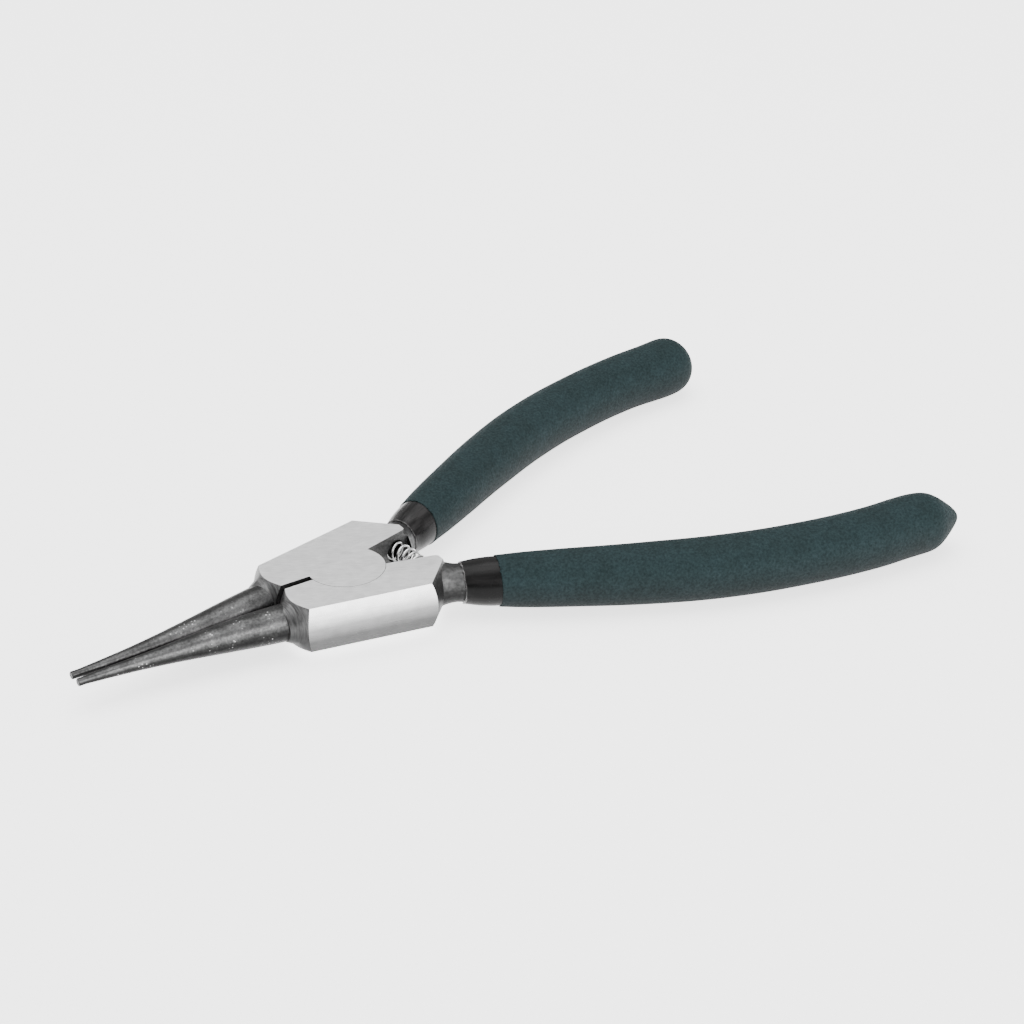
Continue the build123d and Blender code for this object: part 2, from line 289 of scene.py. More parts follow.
def cut_rim(piece, rim, side):
    """Cut the piece off through a point of its axis, leaning with the handle, and round the cut's edge."""
    choose(piece)
    bpy.ops.object.mode_set(mode="EDIT")
    bpy.ops.mesh.select_all(action="SELECT")
    point = (rim.x + RIM_SHIFT[side], side * rim.y, 0)
    lean = (cos(RIM_TILT), side * sin(RIM_TILT), 0)
    bpy.ops.mesh.bisect(plane_co=point, plane_no=lean, use_fill=True, clear_inner=True)
    bpy.ops.mesh.bevel(offset=LIP, segments=3, affect="EDGES")
    bpy.ops.object.mode_set(mode="OBJECT")


print("a ring has", RING_SIDES, "sides, a rim leans", round(RIM_TILT * 180 / pi), "degrees")

# %% [markdown]
# ## Outer grips
# The outer layer is foamed vinyl. It is thin at its rim, swells along the palm, and ends round. The near
# grip hung lowest when it was dipped, so its end is drawn out to a blunt drop. Each row below is a distance
# along the handle and a radius, and the rows stand closer together where the outline bends more. The bar
# starts a little ahead of the rim, and what is ahead of it is cut off.

# %% Grip profiles
GRIP_TAPER = [
    (4.0, 5.05), (6.5, 5.12), (9.4, 5.2), (11.5, 5.33), (14.0, 5.55), (19.0, 5.78), (25.0, 5.95),
    (33.0, 6.15), (42.0, 6.36)
]
# places along the palm in mm, with the share of the full radius there
GRIP_PALM = [(52.0, 1.0), (62.0, 1.0), (72.0, 0.995), (82.0, 0.995), (91.0, 1.0)]
# distances past the last centre in mm, with the share of the full radius there
ROUND_END = [
    (-5.0, 1.02), (-1.0, 1.04), (1.2, 1.02), (2.6, 0.95), (3.9, 0.80), (4.9, 0.59), (5.5, 0.39), (5.75, 0.2),
    (5.8, 0.0)
]
DROP_END = [
    (-4.0, 1.0), (-1.0, 1.0), (1.6, 0.97), (3.2, 0.87), (4.6, 0.73), (5.8, 0.58), (6.9, 0.43), (7.9, 0.28),
    (8.6, 0.14), (8.8, 0.0)
]


def grip_rows(end_shape):
    """Rows of distance along the handle and radius for a grip with the given end."""
    rows = [(s * MM, r * MM) for s, r in GRIP_TAPER]
    rows += [(s * MM, GRIP_R * share) for s, share in GRIP_PALM]
    return rows + [(LENGTH_TO_END + s * MM, GRIP_R * share) for s, share in end_shape]


grips = {}
for side, node, end_shape in ((1, "far_grip", ROUND_END), (-1, "near_grip", DROP_END)):
    grip = drawn_bar(f"{node}_foam", grip_rows(end_shape))
    smooth_out(grip)
    bend_along(grip, handle_lines[side])
    cut_rim(grip, GRIP_RIM, side)
    grips[side] = grip
    measure(grip, node)

# %% [markdown]
# ## Inner sleeves
# The first dip is smooth black vinyl. Only a short collar of it shows between the neck and the grip. It
# begins in a thin lip, swells where it drained, and runs on under the grip. It is drawn out in the same way
# as the grip. The faces that round its rim are still selected after the cut, and they get a second slot,
# which paints a highlight along the thin lip in a paler grey.

# %% Sleeve profile
SLEEVE_COLLAR = [
    (-1.5, 4.1), (0.5, 4.12), (2.3, 4.17), (3.2, 4.32), (4.4, 4.55), (6.0, 4.8), (8.0, 4.98), (9.8, 5.02),
    (11.5, 4.9), (15.0, 4.6)
]
SLEEVE_R = 4.5 * MM
SLEEVE_END_R = 3.6 * MM
COVERED_ROWS = (20.0, 30.0, 50.0, 75.0)

sleeve_rows = [(s * MM, r * MM) for s, r in SLEEVE_COLLAR]
sleeve_rows += [(s * MM, SLEEVE_R) for s in COVERED_ROWS]
sleeve_rows += [
    (LENGTH_TO_END - 1 * MM, SLEEVE_R), (LENGTH_TO_END, SLEEVE_END_R), (LENGTH_TO_END + 0.2 * MM, 0.0)
]
sleeves = {}
for side, node in ((1, "far_sleeve"), (-1, "near_sleeve")):
    sleeve = drawn_bar(f"{node}_vinyl", sleeve_rows)
    smooth_out(sleeve)
    bend_along(sleeve, handle_lines[side])
    cut_rim(sleeve, SLEEVE_RIM, side)
    # the rounded rim faces take the second slot, a painted highlight
    for face in sleeve.data.polygons:
        face.material_index = int(face.select)
    sleeves[side] = sleeve
    measure(sleeve, node)

# %% [markdown]
# ## Return spring
# The spring is one bright wire wound into a coil. Its ends stand in blind seats in the crotch faces, and it
# bows over the arc that stands square to both of them. A helix could be written as a list of points, but a
# Screw modifier is the plain way: it carries one ring of wire round the axis and along it. The ends are
# closed, and the straight coil is then bent over the arc with a Curve modifier, like the grips.

# %% Spring arc
spring_low, spring_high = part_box("return_spring")
SPRING_Z = (spring_low.z + spring_high.z) / 2
WIRE_R = 0.27 * MM
COIL_R = 1.93 * MM
TURNS = 8.5
WIRE_SIDES = 14
STEPS_PER_TURN = 36
CROTCH_ANGLE = radians(15)
CROTCH_APEX_X = -5.95 * MM
SEAT_DEPTH = 2.0 * MM
SEAT_ARC_R = 21.6 * MM
ARC_KNOTS = 5
arc_half = CROTCH_ANGLE + (SEAT_DEPTH - WIRE_R) / SEAT_ARC_R
spring_length = 2 * arc_half * SEAT_ARC_R


def spring_arc():
    """Arc from the near seat to the far seat, as a Bezier curve."""
    curve, knots = link_curve("spring_line", ARC_KNOTS)
    curve.data.resolution_u = 32
    step = 2 * arc_half / (ARC_KNOTS - 1)
    # the handle length with which a Bezier span follows a circle
    pull = 4 / 3 * tan(step / 4) * SEAT_ARC_R
    for i, knot in enumerate(knots):
        a = -arc_half + step * i
        knot.handle_left_type = "FREE"
        knot.handle_right_type = "FREE"
        knot.co = (CROTCH_APEX_X + SEAT_ARC_R * cos(a), SEAT_ARC_R * sin(a), SPRING_Z)
        along = Vector((-sin(a), cos(a), 0))
        knot.handle_right = knot.co + along * pull
        knot.handle_left = knot.co - along * pull
    return curve


spring_line = spring_arc()
print("spring along its arc, mm", round(spring_length / MM, 2))

# %% Winding the spring
bpy.ops.object.select_all(action="DESELECT")
bpy.ops.mesh.primitive_circle_add(vertices=WIRE_SIDES, radius=WIRE_R, location=(0, 0, 0), rotation=(0, 0, 0))
spring = bpy.context.object
spring.name = "return_spring_wire"
bpy.ops.object.mode_set(mode="EDIT")
bpy.ops.mesh.select_all(action="SELECT")
bpy.ops.transform.translate(value=(0, COIL_R, 0))
bpy.ops.object.mode_set(mode="OBJECT")
screw = spring.modifiers.new("coil", "SCREW")
screw.axis = "X"
screw.angle = 2 * pi * TURNS
screw.screw_offset = spring_length
screw.steps = int(STEPS_PER_TURN * TURNS)
screw.render_steps = int(STEPS_PER_TURN * TURNS)
screw.use_merge_vertices = False
apply_modifiers(spring)
bpy.ops.object.mode_set(mode="EDIT")
bpy.ops.mesh.select_all(action="DESELECT")
bpy.ops.mesh.select_non_manifold()
bpy.ops.mesh.edge_face_add()
bpy.ops.object.mode_set(mode="OBJECT")
bend_along(spring, spring_line)
measure(spring, "return_spring")

# %% [markdown]
# ## Steel halves
# The forgings keep the model's shape. They could be shown as they come, but then every ground edge would be
# mathematically sharp and none would catch the light. So a copy of each is welded from loose triangles, its
# flat faces are joined again, and the sharp edges get a narrow bevel. The round seams of the lap disc and
# the rivet are left out, because there two ground faces meet flush.

# %% Welded copies
FLAT_ANGLE = radians(0.3)


def steel_copy(node, name):
    """A welded copy of a node's mesh, with its flat faces joined."""
    source = frame["nodes"][node]
    piece = source.copy()
    piece.data = source.data.copy()
    piece.name = name
    piece.data.name = name
    for key in list(piece.keys()):
        del piece[key]
    piece.parent = None
    bpy.context.scene.collection.objects.link(piece)
    choose(piece)
    bpy.ops.mesh.customdata_custom_splitnormals_clear()
    bpy.ops.object.mode_set(mode="EDIT")
    bpy.ops.mesh.select_all(action="SELECT")
    bpy.ops.mesh.remove_doubles(threshold=WELD)
    bpy.ops.mesh.dissolve_limited(angle_limit=FLAT_ANGLE)
    bpy.ops.object.mode_set(mode="OBJECT")
    return piece


halves = {1: steel_copy("far_half", "far_half_steel"), -1: steel_copy("near_half", "near_half_steel")}
print("welded halves", [len(half.data.polygons) for half in halves.values()], "faces")

# %% Broken edges
SHARP = radians(24)
SEAM_R = 8.2 * MM
EDGE_WIDTH = 0.14 * MM


def break_edges(half):
    """Bevel the sharp edges of a half outside the round seams of the lap."""
    choose(half)
    bpy.ops.object.mode_set(mode="EDIT")
    bpy.ops.mesh.select_mode(type="EDGE")
    bpy.ops.mesh.select_all(action="DESELECT")
    bpy.ops.mesh.edges_select_sharp(sharpness=SHARP)
    mesh = bmesh.from_edit_mesh(half.data)
    for line in mesh.edges:
        middle = (line.verts[0].co + line.verts[1].co) / 2
        if hypot(middle.x, middle.y) < SEAM_R:
            line.select_set(False)
    bmesh.update_edit_mesh(half.data)
    bpy.ops.transform.edge_bevelweight(value=1)
    bpy.ops.object.mode_set(mode="OBJECT")
    edge = half.modifiers.new("edge", "BEVEL")
    edge.width = EDGE_WIDTH
    edge.segments = 2
    edge.limit_method = "WEIGHT"
    edge.use_clamp_overlap = True
    apply_modifiers(half)


for side, node in ((1, "far_half"), (-1, "near_half")):
    break_edges(halves[side])
    measure(halves[side], node)

# %% [markdown]
# ## Pivot rivet
# The rivet's heads were peened into their countersinks and ground off with the faces, so the metal fills
# the countersink and the seam does not show. The model keeps a small running gap there. The copy is swelled
# across by that gap, and its thickness stays.

# %% Peened rivet
SWELL = 1.0153

rivet = steel_copy("pivot_rivet", "pivot_rivet_steel")
bpy.ops.object.mode_set(mode="EDIT")
bpy.ops.mesh.select_all(action="SELECT")
bpy.ops.transform.resize(value=(SWELL, SWELL, 1), center_override=(0, 0, 0))
bpy.ops.object.mode_set(mode="OBJECT")
measure(rivet, "pivot_rivet")

# %% [markdown]
# ## What moves with what
# Each half carries its own sleeve and grip, and the rivet is fast in the near half. Every piece rides on
# its body and stands for its node. Edges sharper than 40 degrees stay hard. On the steel, weighted normals
# keep the ground faces flat up to their bevels. The spring joins both halves but rides on no body: it is
# shaded smooth, set in place where it stands, and its node is hidden.

# %% Shading and riding
HARD_EDGE = radians(40)

riders = (
    (grips[1], "far_side", "far_grip", "grip_foam"),
    (grips[-1], "near_side", "near_grip", "grip_foam"),
    (sleeves[1], "far_side", "far_sleeve", "sleeve_vinyl"),
    (sleeves[-1], "near_side", "near_sleeve", "sleeve_vinyl"),
    (halves[1], "far_side", "far_half", "forged_steel"),
    (halves[-1], "near_side", "near_half", "forged_steel"),
    (rivet, "near_side", "pivot_rivet", "rivet_steel"),
)
for piece, body, node, slot in riders:
    choose(piece)
    bpy.ops.object.shade_smooth_by_angle(angle=HARD_EDGE)
    if slot in ("forged_steel", "rivet_steel"):
        flat = piece.modifiers.new("flat", "WEIGHTED_NORMAL")
        flat.mode = "FACE_AREA"
        flat.weight = 80
        flat.keep_sharp = True
        apply_modifiers(piece)
    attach(piece, body)
    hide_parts(node)
    print(piece.name, "rides on", body)

choose(spring)
bpy.ops.object.shade_smooth()
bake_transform(spring)
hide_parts("return_spring")
print(spring.name, "blends from near_side to far_side")

for helper in (handle_lines[1], handle_lines[-1], spring_line):
    bpy.data.objects.remove(helper)

# %% [markdown]
# ## Shared shader effects
# Steel and vinyl need the same few effects: cloudy variation, fine grain, and marks drawn out along one
# direction. They could be repeated in every material. Each is a node group instead, with named inputs and
# outputs, built once and placed in each material with its own values. The patterns read object
# coordinates, so they stay on a piece while it moves, and a scale of 1000 turns metres into millimetres.

# %% Helpers for node trees
PER_MM = 1000


def add_node(tree, kind, **settings):
    """Add a node and set its plain properties."""
    node = tree.nodes.new(kind)
    for key, value in settings.items():
        setattr(node, key, value)
    return node


def new_group(name, inputs, outputs):
    """An empty node group with its sockets, returning the tree and its two end nodes."""
    tree = bpy.data.node_groups.new(name, "ShaderNodeTree")
    for label, kind, value in inputs:
        socket = tree.interface.new_socket(label, in_out="INPUT", socket_type=kind)
        if value is not None:
            socket.default_value = value
    for label, kind in outputs:
        tree.interface.new_socket(label, in_out="OUTPUT", socket_type=kind)
    return tree, tree.nodes.new("NodeGroupInput"), tree.nodes.new("NodeGroupOutput")


def noise(tree, scale, detail, roughness=0.5):
    """A noise texture."""
    node = add_node(tree, "ShaderNodeTexNoise")
    node.inputs["Scale"].default_value = scale
    node.inputs["Detail"].default_value = detail
    node.inputs["Roughness"].default_value = roughness
    return node


print("one pattern unit is", 1 / PER_MM / MM, "mm")

# %% [markdown]
# ## Brushed marks
# A grinding belt and a draining dip both leave lines along one direction. Plain noise becomes such lines
# when its place is squeezed along two axes more than along the third.


# %% Brushed marks
def make_brushed():
    """Fine lines, from 0 to 1. Stretch is lines per millimetre along each axis of the place given."""
    tree, start, end = new_group(
        "brushed_marks",
        [("Place", "NodeSocketVector", None), ("Stretch", "NodeSocketVector", (1, 1, 1))],
        [("Marks", "NodeSocketFloat"), ("Clouds", "NodeSocketFloat")],
    )
    link = tree.links.new
    scale = add_node(tree, "ShaderNodeVectorMath", operation="SCALE")
    scale.inputs["Scale"].default_value = PER_MM
    stretched = add_node(tree, "ShaderNodeVectorMath", operation="MULTIPLY")
    lines = noise(tree, 1, 4, 0.65)
    clouds = noise(tree, 0.45, 4)
    link(start.outputs["Place"], scale.inputs[0])
    link(scale.outputs[0], stretched.inputs[0])
    link(start.outputs["Stretch"], stretched.inputs[1])
    link(stretched.outputs[0], lines.inputs["Vector"])
    link(scale.outputs[0], clouds.inputs["Vector"])
    link(lines.outputs["Fac"], end.inputs["Marks"])
    link(clouds.outputs["Fac"], end.inputs["Clouds"])
    return tree


brushed_marks = make_brushed()
print(brushed_marks.name, len(brushed_marks.nodes), "nodes")

# %% [markdown]
# ## Grain
# Foam, phosphate and dipped vinyl all have a grain with a size. One group gives the fine grain, the broad
# clouds, and bright specks in the middle of some cells of a Voronoi pattern.


# %% Grain with specks and clouds
def make_grain():
    """Grain of a given size in millimetres, with bright specks and broad clouds."""
    tree, start, end = new_group(
        "grain",
        [("Place", "NodeSocketVector", None), ("Size", "NodeSocketFloat", 0.4)],
        [("Grain", "NodeSocketFloat"), ("Specks", "NodeSocketFloat"), ("Clouds", "NodeSocketFloat")],
    )
    link = tree.links.new
    scale = add_node(tree, "ShaderNodeVectorMath", operation="SCALE")
    scale.inputs["Scale"].default_value = PER_MM
    count = add_node(tree, "ShaderNodeMath", operation="DIVIDE")
    count.inputs[0].default_value = 1
    fine = noise(tree, 1, 5, 0.6)
    cells = add_node(tree, "ShaderNodeTexVoronoi", feature="F1")
    speck = add_node(tree, "ShaderNodeMapRange")
    speck.inputs["From Min"].default_value = 0.22
    speck.inputs["From Max"].default_value = 0.08
    clouds = noise(tree, 0.22, 4)
    link(start.outputs["Place"], scale.inputs[0])
    link(start.outputs["Size"], count.inputs[1])
    link(scale.outputs[0], fine.inputs["Vector"])
    link(scale.outputs[0], cells.inputs["Vector"])
    link(scale.outputs[0], clouds.inputs["Vector"])
    link(count.outputs[0], fine.inputs["Scale"])
    link(count.outputs[0], cells.inputs["Scale"])
    link(cells.outputs["Distance"], speck.inputs["Value"])
    link(fine.outputs["Fac"], end.inputs["Grain"])
    link(speck.outputs["Result"], end.inputs["Specks"])
    link(clouds.outputs["Fac"], end.inputs["Clouds"])
    return tree


grain = make_grain()
print(grain.name, len(grain.nodes), "nodes")

# %% [markdown]
# ## Small builders for materials
# Every finish below is the same few steps: a pattern becomes a colour through a ramp, becomes a roughness
# through a range, and lifts the surface through a bump. Each step is one short function.

# %% Colour, range and bump
# the colour sockets of a Mix node have no names of their own
MIX_FIRST = 6
MIX_SECOND = 7
MIX_COLOUR = 2


def grey(value):
    """A neutral colour."""
    return (value, value, value)


def ramp(tree, source, low, high, low_colour, high_colour):
    """A two-stop colour ramp on a value."""
    node = add_node(tree, "ShaderNodeValToRGB")
    first, last = node.color_ramp.elements
    first.position = low
    last.position = high
    first.color = (*low_colour, 1)
    last.color = (*high_colour, 1)
    tree.links.new(source, node.inputs["Fac"])
    return node.outputs["Color"]


def grey_bands(tree, source, stops):
    """A ramp of greys; stops are (place from 0 to 1, grey), the two ends first."""
    node = add_node(tree, "ShaderNodeValToRGB")
    for i, (level, value) in enumerate(stops):
        stop = node.color_ramp.elements[i] if i < 2 else node.color_ramp.elements.new(level)
        stop.position = level
        stop.color = (*grey(value), 1)
    tree.links.new(source, node.inputs["Fac"])
    return node.outputs["Color"]


def spread(tree, source, low, high, new_low, new_high):
    """Map a value from one range to another."""
    node = add_node(tree, "ShaderNodeMapRange")
    node.inputs["From Min"].default_value = low
    node.inputs["From Max"].default_value = high
    node.inputs["To Min"].default_value = new_low
    node.inputs["To Max"].default_value = new_high
    tree.links.new(source, node.inputs["Value"])
    return node.outputs["Result"]


def multiply(tree, first, second):
    """Multiply two colours."""
    node = add_node(tree, "ShaderNodeMix", data_type="RGBA", blend_type="MULTIPLY")
    node.inputs["Factor"].default_value = 1.0
    tree.links.new(first, node.inputs[MIX_FIRST])
    tree.links.new(second, node.inputs[MIX_SECOND])
    return node.outputs[MIX_COLOUR]


def raise_surface(tree, shader, height, strength, distance):
    """Feed a height into the shader's normal."""
    bump = add_node(tree, "ShaderNodeBump")
    bump.inputs["Strength"].default_value = strength
    bump.inputs["Distance"].default_value = distance
    tree.links.new(height, bump.inputs["Height"])
    tree.links.new(bump.outputs["Normal"], shader.inputs["Normal"])


def new_material(name):
    """A material and its tree, shader and object coordinates."""
    material = bpy.data.materials.new(name)
    material.use_nodes = True
    tree = material.node_tree
    place = add_node(tree, "ShaderNodeTexCoord").outputs["Object"]
    return material, tree, tree.nodes["Principled BSDF"], place


def turned_place(tree, place, angle):
    """Object coordinates turned about Z, so that a pattern runs with a slanted face or handle."""
    mapping = add_node(tree, "ShaderNodeMapping")
    mapping.inputs["Rotation"].default_value = (0, 0, angle)
    tree.links.new(place, mapping.inputs["Vector"])
    return mapping.outputs["Vector"]


def effect(tree, group, place, **values):
    """Place a shared effect in a material with its own values."""
    node = add_node(tree, "ShaderNodeGroup", node_tree=group)
    tree.links.new(place, node.inputs["Place"])
    for key, value in values.items():
        node.inputs[key].default_value = value
    return node


print("shared effects", [brushed_marks.name, grain.name])

# %% [markdown]
# ## Ground steel
# The flat faces of the head are surface ground, the side faces are ground along their length and are the
# brightest, and the shoulders are turned. Plain metal with a roughness would need the whole studio around
# it to look right. So the lines of grinding carry the colour, the roughness and a slight bump, and greys
# by height paint the bands that a bulged side face and a turned shoulder would mirror: a painted
# reflection, dark low down and bright near the top.


# %% Ground steel
def ground_steel(name, tones, rough, stretch, bump, turned=0.0, stops=None, cloud=0.86):
    """Steel ground along one direction, turned about Z to run with the face."""
    material, tree, shader, place = new_material(name)
    marks = effect(tree, brushed_marks, turned_place(tree, place, turned), Stretch=stretch)
    lined = ramp(tree, marks.outputs["Marks"], 0.3, 0.7, grey(tones[0]), grey(tones[1]))
    cloudy = ramp(tree, marks.outputs["Clouds"], 0.32, 0.68, grey(cloud), grey(1))
    colour = multiply(tree, lined, cloudy)
    # painted reflection: greys by height on the face, dark low down and bright near the top, multiplied into
    # the colour
    if stops:
        split = add_node(tree, "ShaderNodeSeparateXYZ")
        tree.links.new(place, split.inputs[0])
        height = spread(tree, split.outputs["Z"], 0.0, HEAD_T, 0.0, 1.0)
        shares = [(level * MM / HEAD_T, value) for level, value in stops]
        colour = multiply(tree, colour, grey_bands(tree, height, shares))
    tree.links.new(colour, shader.inputs["Base Color"])
    rough_now = spread(tree, marks.outputs["Marks"], 0.3, 0.7, *rough)
    tree.links.new(rough_now, shader.inputs["Roughness"])
    shader.inputs["Metallic"].default_value = 1.0
    raise_surface(tree, shader, marks.outputs["Marks"], bump, 0.03 * MM)
    return material


# the side face runs this far outwards over this length
SIDE_TURN = atan2(5.22, 24.95)
# painted reflection: heights above the underside in mm, with the grey painted there, dark low and bright high
SIDE_PAINTED_REFLECTION = [(0.0, 0.10), (9.8, 1.0), (2.5, 0.12), (5.2, 0.30), (7.8, 0.92)]
SHOULDER_PAINTED_REFLECTION = [(0.0, 0.45), (9.8, 2.6), (4.0, 0.55), (7.0, 1.2)]
SIDE_TONES = (0.76, 0.96)
SIDE_ROUGH = (0.24, 0.34)
SIDE_LINES = (0.2, 6, 6)

head_top = ground_steel("head_ground", (0.70, 0.88), (0.38, 0.5), (0.5, 3.2, 3.2), 0.2, 0.5, cloud=0.9)
sides = {
    1: ground_steel("side_ground_far", SIDE_TONES, SIDE_ROUGH, SIDE_LINES, 0.3, -SIDE_TURN, SIDE_PAINTED_REFLECTION),
    -1: ground_steel("side_ground_near", SIDE_TONES, SIDE_ROUGH, SIDE_LINES, 0.3, SIDE_TURN, SIDE_PAINTED_REFLECTION),
}
shoulder = ground_steel(
    "shoulder_turned", (0.035, 0.105), (0.32, 0.5), (5, 0.4, 0.4), 0.6, stops=SHOULDER_PAINTED_REFLECTION
)
print("ground finishes", [m.name for m in (head_top, *sides.values(), shoulder)])

# %% [markdown]
# ## Forged steel
# The jaws, the neck and the crotch keep the grey phosphate skin of the forging: mottled, a little rough,
# and rubbed bright in specks on the jaws. A round jaw mirrors a dark room below and a bright one above, and
# in a bare scene it has nothing to mirror. So the jaws and the neck get a painted reflection instead:
# greys by the way the surface faces, dark below and a bright band above the middle.


# %% Forged skin
def painted_light_by_facing(tree, stops):
    """Painted light and shade by how far the surface looks up; stops are (share from down to up, grey)."""
    way = add_node(tree, "ShaderNodeTexCoord").outputs["Normal"]
    split = add_node(tree, "ShaderNodeSeparateXYZ")
    tree.links.new(way, split.inputs[0])
    rise = spread(tree, split.outputs["Z"], -1.0, 1.0, 0.0, 1.0)
    return grey_bands(tree, rise, stops)


def add_specks(tree, place, skin, colour, size, share):
    """Mix bright rubbed specks into a colour, in patches."""
    spots = effect(tree, grain, place, Size=size)
    patchy = spread(tree, skin.outputs["Clouds"], 0.5, 0.62, 0.0, share)
    rubbed = add_node(tree, "ShaderNodeMath", operation="MULTIPLY")
    tree.links.new(spots.outputs["Specks"], rubbed.inputs[0])
    tree.links.new(patchy, rubbed.inputs[1])
    mix = add_node(tree, "ShaderNodeMix", data_type="RGBA")
    tree.links.new(rubbed.outputs[0], mix.inputs["Factor"])
    tree.links.new(colour, mix.inputs[MIX_FIRST])
    mix.inputs[MIX_SECOND].default_value = (*grey(0.75), 1)
    return mix.outputs[MIX_COLOUR]


def forged_skin(name, tones, metal, rough, size, stops=None, specks=0.0):
    """Phosphated forging: mottled, finely grained, specked bright where rubbed; stops paint a reflection."""
    material, tree, shader, place = new_material(name)
    skin = effect(tree, grain, place, Size=size)
    mottled = ramp(tree, skin.outputs["Clouds"], 0.34, 0.66, grey(tones[0]), grey(tones[1]))
    fine = ramp(tree, skin.outputs["Grain"], 0.3, 0.7, grey(0.6), grey(1.2))
    colour = multiply(tree, mottled, fine)
    # painted reflection by the way the surface faces, when stops are given
    if stops:
        colour = multiply(tree, colour, painted_light_by_facing(tree, stops))
    if specks:
        colour = add_specks(tree, place, skin, colour, size * 1.6, specks)
    tree.links.new(colour, shader.inputs["Base Color"])
    rough_now = spread(tree, skin.outputs["Grain"], 0.3, 0.7, rough[1], rough[0])
    tree.links.new(rough_now, shader.inputs["Roughness"])
    shader.inputs["Metallic"].default_value = metal
    raise_surface(tree, shader, skin.outputs["Grain"], 0.6, 0.05 * MM)
    return material


# painted reflection on the round jaws and neck: shares from down to up, with the grey painted there
ROUND_PAINTED_REFLECTION = [
    (0.0, 0.4), (1.0, 0.45), (0.2, 0.2), (0.42, 0.14), (0.55, 0.28), (0.68, 0.9), (0.78, 1.9), (0.88, 1.1)
]
jaw_skin = forged_skin("jaw_phosphate", (0.065, 0.125), 1.0, (0.30, 0.48), 0.5, ROUND_PAINTED_REFLECTION, 0.45)
crotch_skin = forged_skin("crotch_dark", (0.045, 0.075), 0.8, (0.45, 0.6), 0.5)
neck_skin = forged_skin("neck_forged", (0.068, 0.115), 0.9, (0.36, 0.52), 0.7, ROUND_PAINTED_REFLECTION, 0.1)
print("forged finishes", [m.name for m in (jaw_skin, crotch_skin, neck_skin)])

# %% [markdown]
# ## Which finish goes where
# One forging carries six finishes, because each of its faces went through other work. They could be painted
# as masks. The faces are told apart by their place and direction instead, and each gets the slot of its
# finish, so the borders lie exactly on the ground edges.

# %% Give each face its finish
SKIM = 0.03 * MM
HEAD_FROM, HEAD_TO = -16 * MM, 19 * MM
SHOULDER_FROM, SHOULDER_TO = -20 * MM, -11 * MM
JAW_TO = -15.4 * MM
SIDE_Y, SIDE_TO = 9 * MM, 13 * MM
CROTCH_START = Vector((7.085, 3.494)) * MM
CROTCH_FROM, CROTCH_TO = 6.5 * MM, 17.9 * MM
CROTCH_WIDTH = 2.2 * MM
NECK_FROM = 10 * MM


def finish_of(face, side):
    """Name of the finish for a face of the half on that side."""
    x, y, z = face.center.x, side * face.center.y, face.center.z
    forward, outward = face.normal.x, side * face.normal.y
    on_face = abs(face.normal.z) > 0.99 and (z > HEAD_T - SKIM or z < SKIM)
    if on_face and HEAD_FROM < x < HEAD_TO:
        return "top"
    if SHOULDER_FROM < x < SHOULDER_TO and forward < -0.35:
        return "shoulder"
    if x < JAW_TO:
        return "jaw"
    if y > SIDE_Y and outward > 0.55 and x < SIDE_TO and forward < 0.1:
        return "side"
    crotch_y = CROTCH_START.y + (x - CROTCH_START.x) * tan(CROTCH_ANGLE)
    if CROTCH_FROM < x < CROTCH_TO and y < crotch_y + CROTCH_WIDTH:
        return "crotch"
    return "neck" if x > NECK_FROM else "crotch"


for side, half in halves.items():
    finishes = {
        "top": head_top, "side": sides[side], "shoulder": shoulder,
        "jaw": jaw_skin, "crotch": crotch_skin, "neck": neck_skin,
    }
    slots = list(finishes)
    half.data.materials.clear()
    for material in finishes.values():
        half.data.materials.append(material)
    tally = dict.fromkeys(slots, 0)
    for face in half.data.polygons:
        name = finish_of(face, side)
        face.material_index = slots.index(name)
        tally[name] += 1
    print(half.name, tally)

rivet.data.materials.clear()
rivet.data.materials.append(head_top)

# %% [markdown]
# ## Glossy sleeves
# The inner dip is smooth black vinyl. It drained along the handle while it set, which left faint streaks,
# and it mirrors the light as a soft sheen. The far sleeve faces the light, so its copy is painted lighter,
# its streaks too: painted light. The lip at the rim has its own finish, a painted highlight in a paler grey.


# %% Glossy sleeves
def glossy_vinyl(name, dark, light, shine, turned=0.0):
    """Smooth black dipped vinyl with faint draining streaks, turned about Z to run with the handle."""
    material, tree, shader, place = new_material(name)
    skin = effect(tree, grain, place, Size=1.8)
    drained = effect(tree, brushed_marks, turned_place(tree, place, turned), Stretch=(0.03, 0.34, 0.34))
    warm = (light, light * 0.95, light * 0.96)
    streaks = ramp(tree, drained.outputs["Marks"], 0.42, 0.60, grey(dark), warm)
    tree.links.new(streaks, shader.inputs["Base Color"])
    rough = spread(tree, skin.outputs["Clouds"], 0.3, 0.7, 0.2, 0.34)
    tree.links.new(rough, shader.inputs["Roughness"])
    shader.inputs["Specular IOR Level"].default_value = shine
    raise_surface(tree, shader, skin.outputs["Grain"], 0.25, 0.12 * MM)
    return material


# the far copy is painted lighter than the near one, streaks included, for the light it faces
sleeve_black_lit_and_shaded = {
    1: glossy_vinyl("sleeve_far_black", 0.003, 0.028, 0.12, -NECK_ANGLE),
    -1: glossy_vinyl("sleeve_near_black", 0.003, 0.012, 0.10, NECK_ANGLE),
}
# painted highlight: a paler, shinier grey along the rim's lip
sleeve_lip_painted_highlight = glossy_vinyl("sleeve_lip_painted_highlight", 0.03, 0.14, 0.4)
for side, piece in sleeves.items():
    piece.data.materials.append(sleeve_black_lit_and_shaded[side])
    piece.data.materials.append(sleeve_lip_painted_highlight)
    print(piece.name, [m.name for m in piece.data.materials])

# %% [markdown]
# ## Foamed grips
# The outer dip is foamed while it sets, and its skin is matt, with a fine pebble grain that is a little
# lighter on the crests. Two sizes of grain and broad clouds keep the dark green from looking like one flat
# colour. Greys by the way the surface faces paint shade on the underside and light on top.

